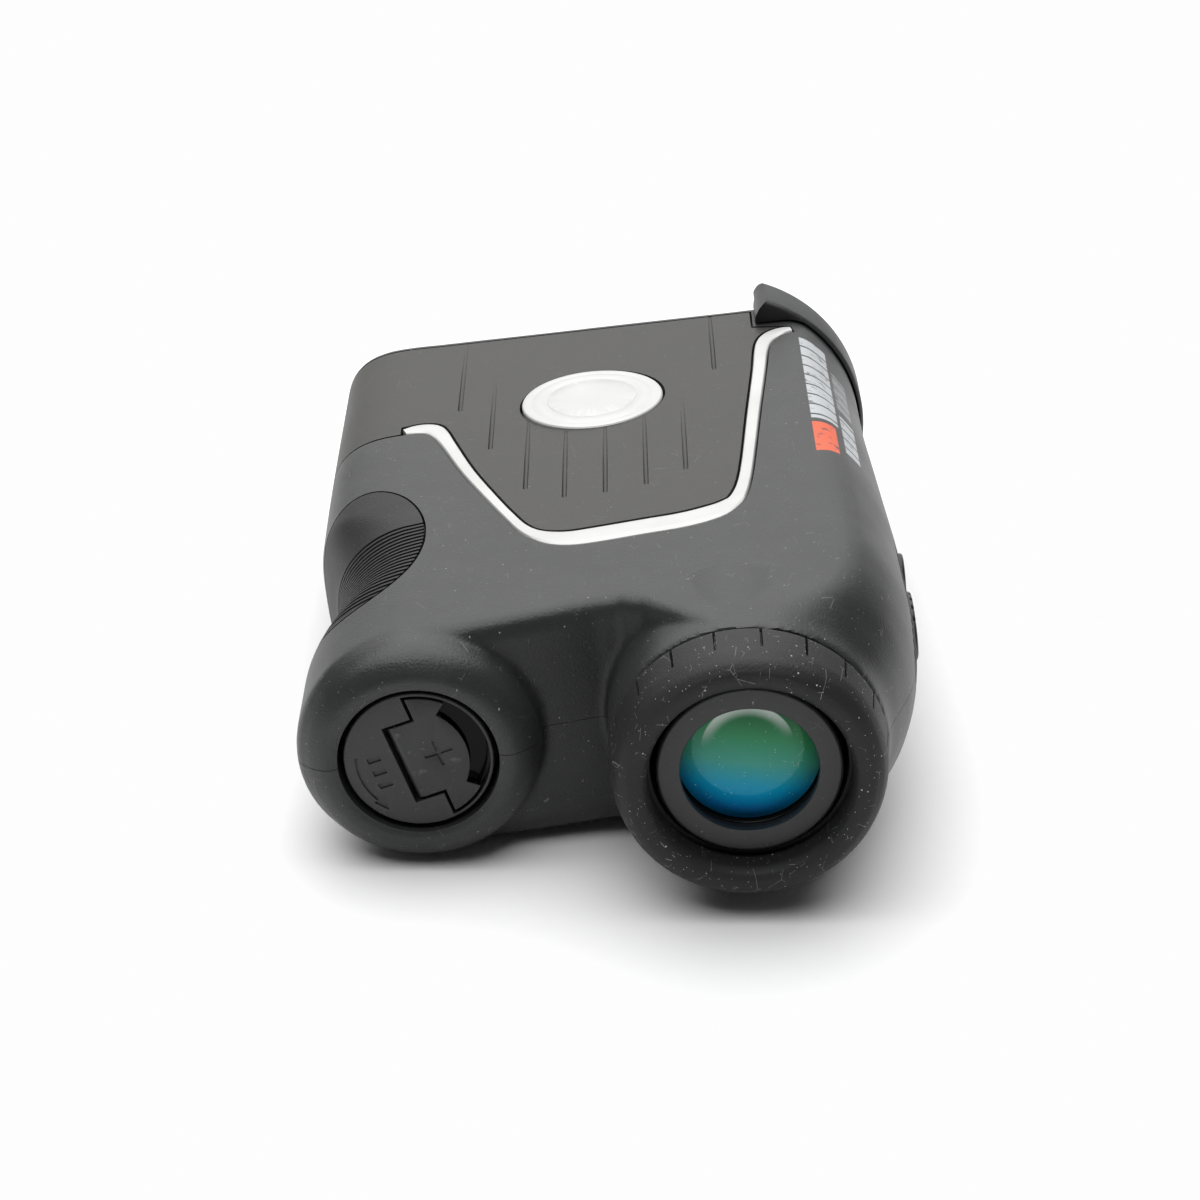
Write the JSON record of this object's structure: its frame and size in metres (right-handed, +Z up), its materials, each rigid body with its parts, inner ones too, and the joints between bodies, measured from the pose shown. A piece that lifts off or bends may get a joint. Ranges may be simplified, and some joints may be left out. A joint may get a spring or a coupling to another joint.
{
  "type": "handheld laser rangefinder",
  "caption": "Handheld laser rangefinder lying on its side, with eyepiece, hooded front lens, quarter-turn battery cap, side panel and finger recess.",
  "frame": {"origin": "on the surface it lies on, under the centre of its box", "axes": "+Z up, +Y forward along the optical axis, +X towards the top of the device"},
  "size_m": [0.084, 0.1208, 0.0434],
  "materials": {
    "rubber_armour": "matte, finely grained",
    "soft_rubber": "matte",
    "panel_plastic": "satin",
    "satin_silver": "satin",
    "black_plastic": "satin",
    "lens_glass": "coated, polished",
    "black_metal": "black anodised",
    "steel": "bright",
    "gold_plate": "plated",
    "circuit_board": "solder resist",
    "battery_wrap": "printed sleeve, plain"
  },
  "bodies": {
    "root": {"left_body_shell": "rubber_armour", "right_body_shell": "rubber_armour", "front_hood": "rubber_armour", "left_side_panel": "panel_plastic", "right_side_panel": "panel_plastic", "left_trim": "satin_silver", "right_trim": "satin_silver", "left_badge": "satin_silver", "right_badge": "satin_silver", "finger_grip": "soft_rubber", "top_pad": "soft_rubber", "front_bezel": "black_plastic", "battery_tube": "black_plastic", "contact_plate": "gold_plate", "contact_spring": "gold_plate", "prism_holder": "black_plastic", "prism": "lens_glass", "reticle_display": "lens_glass", "objective_cell": "black_metal", "objective_lens": "lens_glass", "retaining_ring": "black_metal", "laser_barrel": "black_metal", "emitter_lens": "lens_glass", "laser_diode": "gold_plate", "receiver_board": "circuit_board", "main_board": "circuit_board", "housing_screw_1": "steel", "housing_screw_2": "steel", "housing_screw_3": "steel", "housing_screw_4": "steel"},
    "dioptre": {"eyecup": "soft_rubber", "dioptre_ring": "black_plastic"},
    "eyepiece_cell": {"lens_bezel": "black_plastic", "eye_lens": "lens_glass", "eyepiece_barrel": "black_metal", "field_lens": "lens_glass"},
    "power_button": {"power_button": "black_plastic"},
    "mode_button": {"mode_button": "black_plastic"},
    "cap_carrier": {"cap_seal": "soft_rubber"},
    "cap": {"battery_cap": "black_plastic", "tab_pin": "steel"},
    "cap_tab": {"cap_tab": "black_plastic"},
    "battery": {"battery": "battery_wrap"}
  },
  "joints": [
    {"name": "dioptre_turn", "type": "hinge", "parent": "root", "child": "dioptre", "pos_m": [0.0175, -0.0516, 0.02106], "axis": [0, 1, 0], "range_deg": [-100, 100]},
    {"name": "focus_slide", "type": "slide", "parent": "root", "child": "eyepiece_cell", "axis": [0, 1, 0], "range_m": [-0.0011, 0.0011]},
    {"name": "power_press", "type": "slide", "parent": "root", "child": "power_button", "axis": [-0.9949, 0, -0.1005], "range_m": [0, 0.0008], "stiffness_N_per_m": 900},
    {"name": "mode_press", "type": "slide", "parent": "root", "child": "mode_button", "axis": [-0.9949, 0, -0.1005], "range_m": [0, 0.0008], "stiffness_N_per_m": 900},
    {"name": "cap_pull", "type": "slide", "parent": "root", "child": "cap_carrier", "axis": [0, -1, 0], "range_m": [0, 0.05]},
    {"name": "cap_turn", "type": "hinge", "parent": "cap_carrier", "child": "cap", "pos_m": [-0.02528, -0.0466, 0.01674], "axis": [0, -1, 0], "range_deg": [0, 90]},
    {"name": "tab_fold", "type": "hinge", "parent": "cap", "child": "cap_tab", "pos_m": [-0.02649, -0.0455, 0.01628], "axis": [0.3562, 0, -0.9344], "range_deg": [0, 90]},
    {"name": "battery_slide", "type": "slide", "parent": "root", "child": "battery", "axis": [0, -1, 0], "range_m": [0, 0.045]}
  ],
  "couplings": [
    {"joint": "focus_slide", "follows": "dioptre_turn", "m_per_rad": 0.00057},
    {"joint": "battery_slide", "follows": "cap_pull", "ratio": 0.9}
  ]
}
